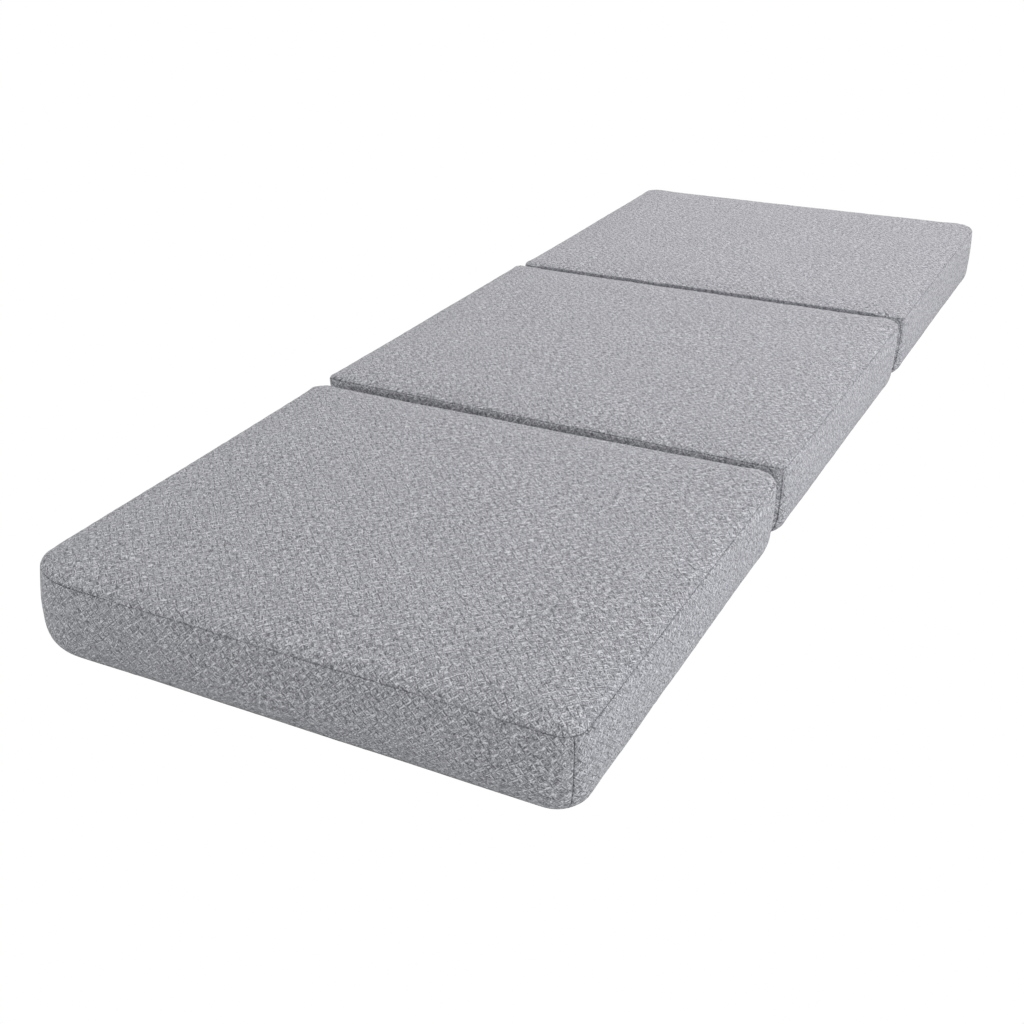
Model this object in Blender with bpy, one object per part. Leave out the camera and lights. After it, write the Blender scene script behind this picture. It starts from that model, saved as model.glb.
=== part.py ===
"""A tri-fold foam mattress: three padded sections joined by two fabric hinge strips.

X runs across the mattress, Y along it from the foot end to the head end, and Z up.
The origin is on the floor, under the middle of the mattress. Lengths are in metres.
Each section holds two glued layers of foam in a thin liner, inside a sewn cover whose
left side opens with a zip. The foot fold hinges at the floor and the head fold on top,
so the sections fold up like a Z.
"""

import math

import bmesh
import bpy
from mathutils import Matrix, Vector

# The mattress
SECTION_WIDTH = 0.700
SECTION_LENGTH = 0.612
SECTION_HEIGHT = 0.120
CROWN_RISE = 0.004
TOP_CORNER_RADIUS = 0.032
RIM_RADIUS = 0.016
FOOT_FOLD_GAP = 0.018
HEAD_FOLD_GAP = 0.006
FIT_GAP = 0.0003

# The crown: how far each ring lies inside the rim, as a share of the top's corner radius,
# and how much of the crown's rise it has reached
CROWN_RING_SHARES = (0.25, 0.55, 0.90)
CROWN_RISE_SHARES = (0.50, 0.85, 1.0)

# The layers, from the outside in
COVER_THICKNESS = 0.0024
LINER_THICKNESS = 0.0012
COMFORT_THICKNESS = 0.040

# The sewn cover: seams run round the rims at this angle up from the side
SEAM_ANGLE = math.radians(45)

# The fabric hinges
STRIP_THICKNESS = 0.0012
FOLDED_FACE_GAP = 0.001

# The zip on the left side
ZIP_END_MARGIN = 0.015
ZIP_OPENING = 0.016
TAPE_THICKNESS = 0.0006
COIL_WIDTH = 0.0020
COIL_THICKNESS = 0.0014
SLIDER_LENGTH = 0.011
SLIDER_WALL = 0.0010
SLIDER_BACK = 0.0008
SLIDER_POST = 0.0010
SLIDER_PARKED_FROM_END = 0.006
BRIDGE_WIDTH = 0.0024
BRIDGE_SPAN = 0.0040
BRIDGE_THICKNESS = 0.0009
PULL_BAR_RADIUS = 0.0006
PULL_ARM = 0.0010
PULL_LENGTH = 0.024
PULL_WIDTH = 0.007
LINER_HEM = 0.012

# How finely the round forms are drawn. What lies inside the cover has half as many steps,
# so that its points face points of the cover and it stays clear of it all round.
CORNER_SEGMENTS = 6
RIM_SEGMENTS = 4
INSIDE_CORNER_SEGMENTS = 3
INSIDE_RIM_SEGMENTS = 2
PULL_BAR_SIDES = 16
ROUND_PROFILE_SHARE = 0.5

# How far a cutter reaches past what it cuts
OVERRUN = 0.010

# Worked out from the sizes above
CORNER_RADIUS = TOP_CORNER_RADIUS + RIM_RADIUS
RIM_HEIGHT = SECTION_HEIGHT - CROWN_RISE
LINER_INSET = COVER_THICKNESS + FIT_GAP
FOAM_INSET = LINER_INSET + LINER_THICKNESS + FIT_GAP
SEAM_DROP = RIM_RADIUS * (1 - math.sin(SEAM_ANGLE))
TOP_SEAM_Z = RIM_HEIGHT - SEAM_DROP
BOTTOM_SEAM_Z = SEAM_DROP
LAYER_SPLIT_Z = SECTION_HEIGHT - FOAM_INSET - COMFORT_THICKNESS
LEFT_X = -SECTION_WIDTH / 2
ZIP_Z = RIM_HEIGHT / 2
ZIP_LENGTH = SECTION_LENGTH - 2 * (CORNER_RADIUS + ZIP_END_MARGIN)
TOTAL_LENGTH = 3 * SECTION_LENGTH + FOOT_FOLD_GAP + HEAD_FOLD_GAP
FOOT_Y = -TOTAL_LENGTH / 2 + SECTION_LENGTH / 2
MIDDLE_Y = FOOT_Y + SECTION_LENGTH + FOOT_FOLD_GAP
HEAD_Y = MIDDLE_Y + SECTION_LENGTH + HEAD_FOLD_GAP
FOOT_FOLD_AXIS = Vector((0, FOOT_Y + (SECTION_LENGTH + FOOT_FOLD_GAP) / 2, -FOLDED_FACE_GAP / 2))
HEAD_FOLD_AXIS = Vector(
    (0, HEAD_Y - (SECTION_LENGTH + HEAD_FOLD_GAP) / 2, SECTION_HEIGHT + FOLDED_FACE_GAP / 2)
)

# The zip's cross-section, as x values that grow towards the inside of the mattress
TAPE_OUTER_X = LEFT_X + COVER_THICKNESS - TAPE_THICKNESS
COIL_INNER_X = TAPE_OUTER_X - FIT_GAP
COIL_OUTER_X = COIL_INNER_X - COIL_THICKNESS
PLATE_INNER_X = COIL_OUTER_X - FIT_GAP
PLATE_OUTER_X = PLATE_INNER_X - SLIDER_WALL
BACK_OUTER_X = LEFT_X + COVER_THICKNESS + FIT_GAP
COIL_START = SLIDER_POST / 2 + FIT_GAP
FLANGE_START = COIL_START + COIL_WIDTH + FIT_GAP
SLIDER_HALF_WIDTH = FLANGE_START + SLIDER_WALL
PULL_AXIS_X = PLATE_OUTER_X - FIT_GAP - PULL_BAR_RADIUS
BRIDGE_INNER_X = PULL_AXIS_X - PULL_BAR_RADIUS - FIT_GAP
PULL_ARM_START = BRIDGE_WIDTH / 2 + FIT_GAP
SLIDER_Y = -ZIP_LENGTH / 2 + SLIDER_PARKED_FROM_END + SLIDER_LENGTH / 2

# Colour, roughness and metallic of each material
MATERIALS = {
    "cover_knit": ((0.36, 0.36, 0.385), 0.95, 0.0),
    "non_slip_fabric": ((0.16, 0.16, 0.17), 0.9, 0.0),
    "liner_knit": ((0.86, 0.85, 0.82), 0.9, 0.0),
    "comfort_foam": ((0.80, 0.76, 0.64), 1.0, 0.0),
    "support_foam": ((0.88, 0.87, 0.84), 1.0, 0.0),
    "hinge_fabric": ((0.30, 0.30, 0.32), 0.95, 0.0),
    "zip_tape": ((0.30, 0.30, 0.31), 0.85, 0.0),
    "zip_coil": ((0.26, 0.26, 0.27), 0.45, 0.0),
    "zip_metal": ((0.34, 0.34, 0.35), 0.35, 1.0),
}


def clear_scene():
    for obj in list(bpy.data.objects):
        bpy.data.objects.remove(obj)
    for collection in list(bpy.data.collections):
        bpy.data.collections.remove(collection)


def new_collection(name, hidden=False):
    collection = bpy.data.collections.new(name)
    collection.hide_render = hidden
    bpy.context.scene.collection.children.link(collection)
    return collection


def make_materials():
    made = {}
    for name, (colour, roughness, metallic) in MATERIALS.items():
        material = bpy.data.materials.new(name)
        material.use_nodes = True
        shader = material.node_tree.nodes["Principled BSDF"]
        shader.inputs["Base Color"].default_value = (*colour, 1)
        shader.inputs["Roughness"].default_value = roughness
        shader.inputs["Metallic"].default_value = metallic
        made[name] = material
    return made


def mesh_from(bm, name):
    mesh = bpy.data.meshes.new(name)
    bmesh.ops.recalc_face_normals(bm, faces=bm.faces)
    bm.to_mesh(mesh)
    bm.free()
    return mesh


def add_box(bm, low, high):
    """Adds a box between two corners to a bmesh, and returns its vertices."""
    low = Vector(low)
    high = Vector(high)
    made = bmesh.ops.create_cube(bm, size=1)["verts"]
    bmesh.ops.scale(bm, vec=high - low, verts=made)
    bmesh.ops.translate(bm, vec=(low + high) / 2, verts=made)
    return made


def box_mesh(name, low, high):
    bm = bmesh.new()
    add_box(bm, low, high)
    return mesh_from(bm, name)


def cutter(name, mesh, cutters, matrix=None):
    obj = bpy.data.objects.new(name, mesh)
    obj.matrix_world = matrix or Matrix()
    obj.hide_render = True
    obj.display_type = "WIRE"
    cutters.objects.link(obj)
    return obj


def box_cutter(name, low, high, cutters):
    return cutter(name, box_mesh(name, low, high), cutters)


def cut(mesh, others, operation, cutters):
    """A mesh with Booleans of the other objects applied to it, in order."""
    blank = cutter(mesh.name + "_blank", mesh, cutters)
    for other in others:
        modifier = blank.modifiers.new(other.name, "BOOLEAN")
        modifier.operation = operation
        modifier.object = other
    graph = bpy.context.evaluated_depsgraph_get()
    result = bpy.data.meshes.new_from_object(blank.evaluated_get(graph))
    bpy.data.objects.remove(blank)
    return result


def is_level(edge):
    return abs(edge.verts[0].co.z - edge.verts[1].co.z) < FIT_GAP


def rounded_block(name, inset, corner_segments=CORNER_SEGMENTS, rim_segments=RIM_SEGMENTS):
    """A section's crowned block, drawn in by inset on every side, with its rims and corners rounded."""
    half_width = SECTION_WIDTH / 2 - inset
    half_length = SECTION_LENGTH / 2 - inset
    top = RIM_HEIGHT - inset
    bm = bmesh.new()
    add_box(bm, (-half_width, -half_length, inset), (half_width, half_length, top))
    bmesh.ops.bevel(
        bm,
        geom=[edge for edge in bm.edges if not is_level(edge)],
        offset=CORNER_RADIUS - inset,
        segments=corner_segments,
        profile=ROUND_PROFILE_SHARE,
        affect="EDGES",
    )
    bm.normal_update()
    bmesh.ops.bevel(
        bm,
        geom=[edge for edge in bm.edges if is_level(edge)],
        offset=RIM_RADIUS - inset,
        segments=rim_segments,
        profile=ROUND_PROFILE_SHARE,
        affect="EDGES",
    )
    bm.normal_update()
    crown = max(bm.faces, key=lambda f: f.calc_center_median().z)
    start = 0
    risen = 0
    for ring, rise in zip(CROWN_RING_SHARES, CROWN_RISE_SHARES):
        bmesh.ops.inset_region(
            bm,
            faces=[crown],
            thickness=(ring - start) * TOP_CORNER_RADIUS,
            depth=(rise - risen) * CROWN_RISE,
        )
        start = ring
        risen = rise
    return mesh_from(bm, name)


def islands(mesh):
    """The separate closed bodies of a mesh, each as a mesh of its own."""
    bm = bmesh.new()
    bm.from_mesh(mesh)
    left = set(bm.verts)
    groups = []
    while left:
        reached = {min(left, key=lambda v: v.index)}
        edge_of_group = set(reached)
        while edge_of_group:
            step = {e.other_vert(v) for v in edge_of_group for e in v.link_edges}
            edge_of_group = step - reached
            reached |= edge_of_group
        left -= reached
        groups.append({v.index for v in reached})
    bm.free()
    found = []
    for group in groups:
        part = bmesh.new()
        part.from_mesh(mesh)
        part.verts.ensure_lookup_table()
        others = [v for v in part.verts if v.index not in group]
        bmesh.ops.delete(part, geom=others, context="VERTS")
        found.append(mesh_from(part, mesh.name))
    return found


def middle_of(mesh):
    """The middle of a mesh's box."""
    points = [v.co for v in mesh.vertices]
    low = Vector([min(p[i] for p in points) for i in range(3)])
    high = Vector([max(p[i] for p in points) for i in range(3)])
    return (low + high) / 2


def corner_cutter(name, side, cutters):
    """A thin upright plate through a right-hand corner, for the seam between two bands."""
    corner = Vector((SECTION_WIDTH / 2 - CORNER_RADIUS, side * (SECTION_LENGTH / 2 - CORNER_RADIUS), 0))
    plate = box_mesh(
        name,
        (CORNER_RADIUS / 2, -FIT_GAP / 2, -OVERRUN),
        (CORNER_RADIUS + OVERRUN, FIT_GAP / 2, SECTION_HEIGHT + OVERRUN),
    )
    turn = Matrix.Rotation(side * math.pi / 4, 4, "Z")
    return cutter(name, plate, cutters, Matrix.Translation(corner) @ turn)


def seam_cutters(cutters):
    """Everything that divides the cover: both rim seams, the corner seams, the zip's ends and its opening."""
    reach = Vector((SECTION_WIDTH, SECTION_LENGTH, 0)) / 2 + Vector((OVERRUN, OVERRUN, 0))
    half_seam = Vector((0, 0, FIT_GAP / 2))
    made = []
    for name, height in (("top_seam", TOP_SEAM_Z), ("bottom_seam", BOTTOM_SEAM_Z)):
        level = Vector((0, 0, height))
        made.append(box_cutter(name, level - reach - half_seam, level + reach + half_seam, cutters))
    made.append(corner_cutter("near_corner_seam", -1, cutters))
    made.append(corner_cutter("far_corner_seam", 1, cutters))
    outside = LEFT_X - OVERRUN
    inside = LEFT_X + RIM_RADIUS
    for name, y in (("near_zip_end", -ZIP_LENGTH / 2), ("far_zip_end", ZIP_LENGTH / 2)):
        made.append(
            box_cutter(
                name,
                (outside, y - FIT_GAP / 2, BOTTOM_SEAM_Z),
                (inside, y + FIT_GAP / 2, TOP_SEAM_Z),
                cutters,
            )
        )
    made.append(
        box_cutter(
            "zip_opening",
            (outside, -ZIP_LENGTH / 2, ZIP_Z - ZIP_OPENING / 2),
            (inside, ZIP_LENGTH / 2, ZIP_Z + ZIP_OPENING / 2),
            cutters,
        )
    )
    return made


def cover_meshes(cutters):
    """The cover's sewn pieces, cut from one shell along their seams."""
    inner = cutter("cover_inside", rounded_block("cover_inside", COVER_THICKNESS), cutters)
    whole = rounded_block("cover", 0)
    shell = cut(whole, [inner, *seam_cutters(cutters)], "DIFFERENCE", cutters)
    half_width = SECTION_WIDTH / 2
    half_length = SECTION_LENGTH / 2
    quarter = ZIP_OPENING / 2 + (RIM_HEIGHT - ZIP_OPENING) / 4
    where = {
        "top_panel": (0, 0, RIM_HEIGHT),
        "bottom_panel": (0, 0, 0),
        "near_band": (0, -half_length, ZIP_Z),
        "far_band": (0, half_length, ZIP_Z),
        "right_band": (half_width, 0, ZIP_Z),
        "zip_band_upper": (-half_width, 0, ZIP_Z + quarter),
        "zip_band_lower": (-half_width, 0, ZIP_Z - quarter),
    }
    made = {}
    pieces = islands(shell)
    for name, place in where.items():
        nearest = min(pieces, key=lambda mesh: (middle_of(mesh) - Vector(place)).length)
        pieces.remove(nearest)
        made[name] = nearest
    return made


def inside_block(name, inset):
    return rounded_block(name, inset, INSIDE_CORNER_SEGMENTS, INSIDE_RIM_SEGMENTS)


def liner_mesh(cutters):
    """The liner: a thin sock round the foam, left open behind the zip, where the foam goes in."""
    hollow = inside_block("liner_inside", LINER_INSET + LINER_THICKNESS)
    window = box_cutter(
        "liner_window",
        (LEFT_X, -ZIP_LENGTH / 2, RIM_RADIUS + LINER_HEM),
        (LEFT_X + RIM_RADIUS, ZIP_LENGTH / 2, RIM_HEIGHT - RIM_RADIUS - LINER_HEM),
        cutters,
    )
    others = [cutter("liner_inside", hollow, cutters), window]
    return cut(inside_block("liner", LINER_INSET), others, "DIFFERENCE", cutters)


def foam_meshes(cutters):
    """The soft comfort layer on top and the firm support layer under it, from one block."""
    reach = Vector((SECTION_WIDTH, SECTION_LENGTH, 0)) / 2
    half_gap = Vector((0, 0, FIT_GAP / 2))
    level = Vector((0, 0, LAYER_SPLIT_Z))
    upper = Vector((0, 0, SECTION_HEIGHT))
    above = box_cutter("above_split", level - reach - half_gap, upper + reach, cutters)
    below = box_cutter("below_split", -reach, level + reach + half_gap, cutters)
    return {
        name: cut(inside_block(name, FOAM_INSET), [taken_away], "DIFFERENCE", cutters)
        for name, taken_away in (("comfort_foam", below), ("support_foam", above))
    }


def zip_meshes():
    """The zip's two tapes, and the two rows of its coil, drawn closed, above and below its middle line."""
    half = ZIP_LENGTH / 2 - FIT_GAP
    tape_end = ZIP_OPENING / 2 - FIT_GAP
    coil_end = COIL_START + COIL_WIDTH
    tape_inner_x = LEFT_X + COVER_THICKNESS
    made = {}
    for row, side in (("upper", 1), ("lower", -1)):
        for name, outer_x, inner_x, end in (
            ("zip_tape", TAPE_OUTER_X, tape_inner_x, tape_end),
            ("zip_coil", COIL_OUTER_X, COIL_INNER_X, coil_end),
        ):
            heights = sorted((ZIP_Z + side * COIL_START, ZIP_Z + side * end))
            node = f"{name}_{row}"
            made[node] = box_mesh(node, (outer_x, -half, heights[0]), (inner_x, half, heights[1]))
    return made


def slider_mesh(cutters):
    """The slider: a front plate with flanges, a post between the coils, a back plate, and the pull's bridge.

    Its origin is in the middle of its length, on the zip's middle line, at the mattress's left face.
    """
    half = SLIDER_LENGTH / 2
    wide = SLIDER_HALF_WIDTH
    plate_inner = PLATE_INNER_X - LEFT_X
    plate_outer = PLATE_OUTER_X - LEFT_X
    back_outer = BACK_OUTER_X - LEFT_X
    flange_inner = TAPE_OUTER_X - FIT_GAP - LEFT_X
    bridge_inner = BRIDGE_INNER_X - LEFT_X
    bridge_outer = bridge_inner - BRIDGE_THICKNESS
    reach = BRIDGE_SPAN / 2 + BRIDGE_THICKNESS
    low_z = -BRIDGE_WIDTH / 2
    high_z = BRIDGE_WIDTH / 2
    # Where two boxes join, one runs this far into the other.
    lap = SLIDER_WALL / 2
    boxes = (
        ((plate_inner - lap, -half, FLANGE_START), (flange_inner, half, wide)),
        ((plate_inner - lap, -half, -wide), (flange_inner, half, -FLANGE_START)),
        ((plate_inner - lap, -half, -SLIDER_POST / 2), (back_outer + lap, -half / 2, SLIDER_POST / 2)),
        ((back_outer, -half, -wide), (back_outer + SLIDER_BACK, half, wide)),
        ((bridge_outer, -reach, low_z), (plate_outer + lap, -BRIDGE_SPAN / 2, high_z)),
        ((bridge_outer, BRIDGE_SPAN / 2, low_z), (plate_outer + lap, reach, high_z)),
        ((bridge_outer, -reach, low_z), (bridge_inner, reach, high_z)),
    )
    plate = box_mesh("zip_slider", (plate_outer, -half, -wide), (plate_inner, half, wide))
    others = [
        box_cutter(f"slider_piece_{number}", low, high, cutters)
        for number, (low, high) in enumerate(boxes)
    ]
    return cut(plate, others, "UNION", cutters)


def pull_mesh(cutters):
    """The pull: a bar held under the slider's bridge, two arms past the bridge, and a flat tab.

    Its origin is on the bar's own line, about which it swings.
    """
    thick = PULL_BAR_RADIUS
    tab_start = BRIDGE_SPAN / 2 + BRIDGE_THICKNESS + PULL_ARM
    arm_end = PULL_ARM_START + PULL_ARM
    bm = bmesh.new()
    made = bmesh.ops.create_cone(
        bm,
        cap_ends=True,
        segments=PULL_BAR_SIDES,
        radius1=PULL_BAR_RADIUS,
        radius2=PULL_BAR_RADIUS,
        depth=2 * PULL_ARM_START + PULL_ARM,
    )
    bar = mesh_from(bm, "zip_pull")
    tab = box_mesh(
        "pull_tab", (-thick, tab_start, -PULL_WIDTH / 2), (thick, PULL_LENGTH, PULL_WIDTH / 2)
    )
    upper = box_cutter(
        "pull_arm_upper",
        (-thick, -thick, PULL_ARM_START),
        (thick, tab_start + PULL_ARM, arm_end),
        cutters,
    )
    lower = box_cutter(
        "pull_arm_lower",
        (-thick, -thick, -arm_end),
        (thick, tab_start + PULL_ARM, -PULL_ARM_START),
        cutters,
    )
    return cut(bar, [cutter("pull_tab", tab, cutters), upper, lower], "UNION", cutters)


def strip_mesh(name, fold_gap, seam_z):
    """A hinge strip across a fold, from rim to rim, at the height of the rim seam it is sewn into."""
    arc_z = RIM_RADIUS * math.sin(SEAM_ANGLE) - STRIP_THICKNESS / 2
    rim_inset = RIM_RADIUS - math.sqrt(RIM_RADIUS**2 - arc_z**2)
    half_span = fold_gap / 2 + rim_inset - FIT_GAP
    half_width = SECTION_WIDTH / 2 - CORNER_RADIUS
    low = seam_z - STRIP_THICKNESS / 2
    high = seam_z + STRIP_THICKNESS / 2
    return box_mesh(name, (-half_width, -half_span, low), (half_width, half_span, high))


def empty_at(name, place, parent, collection):
    obj = bpy.data.objects.new(name, None)
    collection.objects.link(obj)
    put(obj, place, parent)
    return obj


def put(obj, place, parent):
    """Places an object at a point of the world, under its parent."""
    obj.parent = parent
    held_at = parent.matrix_world.translation if parent else Vector()
    obj.location = Vector(place) - held_at
    bpy.context.view_layer.update()


def add_node(name, mesh, material, place, parent, collection):
    obj = bpy.data.objects.new(name, mesh)
    if not mesh.materials:
        mesh.materials.append(material)
    mesh.shade_smooth()
    mesh.set_sharp_from_angle(angle=SEAM_ANGLE)
    collection.objects.link(obj)
    put(obj, place, parent)
    return obj


def build():
    clear_scene()
    mattress = new_collection("folding_mattress")
    cutters = new_collection("cutters", hidden=True)
    materials = make_materials()

    pieces = {**cover_meshes(cutters), **foam_meshes(cutters), **zip_meshes()}
    pieces["inner_liner"] = liner_mesh(cutters)
    slider = slider_mesh(cutters)
    pull = pull_mesh(cutters)
    finish = {name: "cover_knit" for name in pieces}
    finish["bottom_panel"] = "non_slip_fabric"
    finish["inner_liner"] = "liner_knit"
    finish["comfort_foam"] = "comfort_foam"
    finish["support_foam"] = "support_foam"
    for row in ("upper", "lower"):
        finish[f"zip_tape_{row}"] = "zip_tape"
        finish[f"zip_coil_{row}"] = "zip_coil"

    head = empty_at("head_section", (0, HEAD_Y, 0), None, mattress)
    middle = empty_at("middle_section", HEAD_FOLD_AXIS, head, mattress)
    foot = empty_at("foot_section", FOOT_FOLD_AXIS, middle, mattress)
    for section, holder, y in (("head", head, HEAD_Y), ("middle", middle, MIDDLE_Y), ("foot", foot, FOOT_Y)):
        for name, mesh in pieces.items():
            add_node(f"{section}_{name}", mesh, materials[finish[name]], (0, y, 0), holder, mattress)
        slider_place = (LEFT_X, y + SLIDER_Y, ZIP_Z)
        runner = add_node(
            f"{section}_zip_slider", slider, materials["zip_metal"], slider_place, holder, mattress
        )
        pull_place = (PULL_AXIS_X, y + SLIDER_Y, ZIP_Z)
        add_node(f"{section}_zip_pull", pull, materials["zip_metal"], pull_place, runner, mattress)

    for name, gap, seam_z, axis, holder in (
        ("foot_hinge_strip", FOOT_FOLD_GAP, BOTTOM_SEAM_Z, FOOT_FOLD_AXIS, middle),
        ("head_hinge_strip", HEAD_FOLD_GAP, TOP_SEAM_Z, HEAD_FOLD_AXIS, head),
    ):
        strip = strip_mesh(name, gap, seam_z)
        add_node(name, strip, materials["hinge_fabric"], (0, axis.y, 0), holder, mattress)


build()
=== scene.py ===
import math

import bmesh
import bpy
import numpy as np
from mathutils import Matrix, Vector, kdtree, noise


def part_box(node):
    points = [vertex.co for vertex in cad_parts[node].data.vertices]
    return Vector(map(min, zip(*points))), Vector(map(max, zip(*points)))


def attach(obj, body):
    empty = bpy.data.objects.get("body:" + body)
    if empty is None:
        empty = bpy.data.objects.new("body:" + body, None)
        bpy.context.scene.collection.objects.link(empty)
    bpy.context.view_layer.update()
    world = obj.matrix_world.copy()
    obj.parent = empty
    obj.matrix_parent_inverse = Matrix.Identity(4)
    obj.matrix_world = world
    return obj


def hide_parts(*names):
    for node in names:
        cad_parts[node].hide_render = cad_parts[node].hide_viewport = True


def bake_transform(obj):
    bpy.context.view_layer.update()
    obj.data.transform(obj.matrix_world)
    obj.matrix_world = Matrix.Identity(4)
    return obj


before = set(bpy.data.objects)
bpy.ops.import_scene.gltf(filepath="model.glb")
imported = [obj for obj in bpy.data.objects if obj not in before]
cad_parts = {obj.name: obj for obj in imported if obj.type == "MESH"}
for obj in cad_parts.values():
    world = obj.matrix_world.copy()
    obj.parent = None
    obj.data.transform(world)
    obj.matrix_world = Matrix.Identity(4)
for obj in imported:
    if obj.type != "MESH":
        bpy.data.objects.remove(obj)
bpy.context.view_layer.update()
print("frame loaded,", len(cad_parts), "nodes")


# small tools for colours, edit mode, mesh points and finished pieces

def hexColour(code):
    # an sRGB hex colour, such as "a1a2a6", as linear RGBA
    made = []
    for start in (0, 2, 4):
        value = int(code[start:start + 2], 16) / 255
        made.append(value / 12.92 if value <= 0.04045 else ((value + 0.055) / 1.055) ** 2.4)
    return (*made, 1.0)


def pickOnly(*pieces):
    # object mode, with just these selected and the first one active
    if bpy.context.object and bpy.context.object.mode != "OBJECT":
        bpy.ops.object.mode_set(mode="OBJECT")
    bpy.ops.object.select_all(action="DESELECT")
    for piece in pieces:
        piece.select_set(True)
    bpy.context.view_layer.objects.active = pieces[0]


def openMesh(piece, mode="VERT"):
    # edit mode with nothing selected
    pickOnly(piece)
    bpy.ops.object.mode_set(mode="EDIT")
    bpy.ops.mesh.select_mode(type=mode)
    bpy.ops.mesh.select_all(action="DESELECT")


def closeMesh():
    bpy.ops.object.mode_set(mode="OBJECT")


def pick(piece, kind, test):
    # in edit mode, selects just the verts, edges or faces that pass the test
    mesh = bmesh.from_edit_mesh(piece.data)
    bpy.ops.mesh.select_all(action="DESELECT")
    for item in getattr(mesh, kind):
        if test(item):
            item.select = True
    mesh.select_flush_mode()
    bmesh.update_edit_mesh(piece.data)


def applyModifier(piece, kind, **settings):
    pickOnly(piece)
    modifier = piece.modifiers.new(kind.lower(), kind)
    for key, value in settings.items():
        setattr(modifier, key, value)
    bpy.ops.object.modifier_apply(modifier=modifier.name)


def settle(piece):
    # the object's place goes into its mesh, as a CAD node's does
    pickOnly(piece)
    bpy.ops.object.transform_apply(location=True, rotation=True, scale=True)


def copyOf(piece, name):
    made = piece.copy()
    made.data = piece.data.copy()
    made.name = made.data.name = name
    bpy.context.scene.collection.objects.link(made)
    return made


def points(piece):
    made = np.empty(len(piece.data.vertices) * 3)
    piece.data.vertices.foreach_get("co", made)
    return made.reshape(-1, 3)


def setPoints(piece, places):
    piece.data.vertices.foreach_set("co", np.asarray(places, float).ravel())
    piece.data.update()


def normals(piece):
    made = np.empty(len(piece.data.vertices) * 3)
    piece.data.vertex_normals.foreach_get("vector", made)
    return made.reshape(-1, 3)


def pickAll():
    bpy.ops.mesh.select_all(action="SELECT")


def turnFacesOut():
    # in edit mode
    pickAll()
    bpy.ops.mesh.normals_make_consistent(inside=False)


def loopVertices(piece):
    # the vertex at each corner of each face
    made = np.empty(len(piece.data.loops), int)
    piece.data.loops.foreach_get("vertex_index", made)
    return made


def layFlat(piece, flat):
    # the flat cut of the cloth, with one place for each corner of each face
    layer = piece.data.uv_layers.active or piece.data.uv_layers.new(name="cloth")
    layer.name = "cloth"
    layer.data.foreach_set("uv", flat.ravel())


def finishPiece(piece, material, body, node):
    piece.data.materials.append(material)
    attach(piece, body)
    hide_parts(node)


# the camera stands at the near right corner, where the photo was taken from
cameraSettings = {
    "aim": (-0.00954, -0.36967, 0.0),   # the point of the floor that it looks at
    "turn": math.radians(27.789),
    "height": math.radians(27.399),
    "distance": 1.86649,
    "roll": math.radians(-0.819),
    "lens": 47.967,
}


def makeCamera():
    turn, height, roll = (cameraSettings[key] for key in ("turn", "height", "roll"))
    back = Vector((
        math.sin(turn) * math.cos(height), -math.cos(turn) * math.cos(height), math.sin(height)
    ))
    right = (-back).cross(Vector((0, 0, 1))).normalized()
    up = right.cross(-back)
    rolledRight = math.cos(roll) * right + math.sin(roll) * up
    rolledUp = -math.sin(roll) * right + math.cos(roll) * up
    place = Vector(cameraSettings["aim"]) + back * cameraSettings["distance"]
    bpy.ops.object.camera_add()
    camera = bpy.context.object
    camera.name = "photoCamera"
    camera.data.lens = cameraSettings["lens"]
    camera.matrix_world = (
        Matrix.Translation(place) @ Matrix((rolledRight, rolledUp, back)).transposed().to_4x4()
    )
    bpy.context.scene.camera = camera


lightSettings = {
    "keySoftbox": {
        "place": (0.2, 1.2, 1.6), "aim": (0.0, 0.6, 0.1), "size": 1.6, "power": 15,
        "colour": "fff8fb",
    },
    "sideSoftbox": {
        "place": (1.7, -0.3, 1.0), "aim": (0.0, 0.4, 0.1), "size": 1.6, "power": 16,
        "colour": "fbfbff",
    },
}


def makeLights():
    for name, settings in lightSettings.items():
        bpy.ops.object.light_add(type="AREA", location=settings["place"])
        light = bpy.context.object
        light.name = name
        light.data.shape = "SQUARE"
        light.data.size = settings["size"]
        light.data.energy = settings["power"]
        light.data.color = hexColour(settings["colour"])[:3]
        towards = Vector(settings["aim"]) - Vector(settings["place"])
        light.rotation_euler = towards.to_track_quat("-Z", "Y").to_euler()
    world = bpy.data.worlds.new("whiteStudio")
    world.use_nodes = True
    background = world.node_tree.nodes["Background"]
    background.inputs["Color"].default_value = hexColour("ffffff")
    background.inputs["Strength"].default_value = 1.0
    bpy.context.scene.world = world
    bpy.context.scene.view_settings.view_transform = "Standard"   # keeps the white ground white


makeCamera()
makeLights()
print("camera and lights placed")


# the materials; each pattern's size is noted beside it

def addNode(tree, kind, settings=None, inputs=None):
    # adds a node; settings are its own properties, inputs its sockets' values or what feeds them
    node = tree.nodes.new("ShaderNode" + kind)
    for key, value in (settings or {}).items():
        setattr(node, key, value)
    for key, value in (inputs or {}).items():
        if isinstance(value, bpy.types.Node):
            value = value.outputs[0]
        if isinstance(value, bpy.types.NodeSocket):
            tree.links.new(value, node.inputs[key])
        else:
            node.inputs[key].default_value = value
    return node


def newMaterial(name, values):
    # a new material with the shader's plain values set, and its tree and shader
    material = bpy.data.materials.new(name)
    material.use_nodes = True
    shader = material.node_tree.nodes["Principled BSDF"]
    for key, value in values.items():
        shader.inputs[key].default_value = value
    return material, material.node_tree, shader


def setTones(ramp, tones):
    # the colour ramp's stops, as (position, sRGB hex)
    while len(ramp.color_ramp.elements) < len(tones):
        ramp.color_ramp.elements.new(1.0)
    for element, (position, code) in zip(ramp.color_ramp.elements, tones):
        element.position = position
        element.color = hexColour(code)


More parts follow.
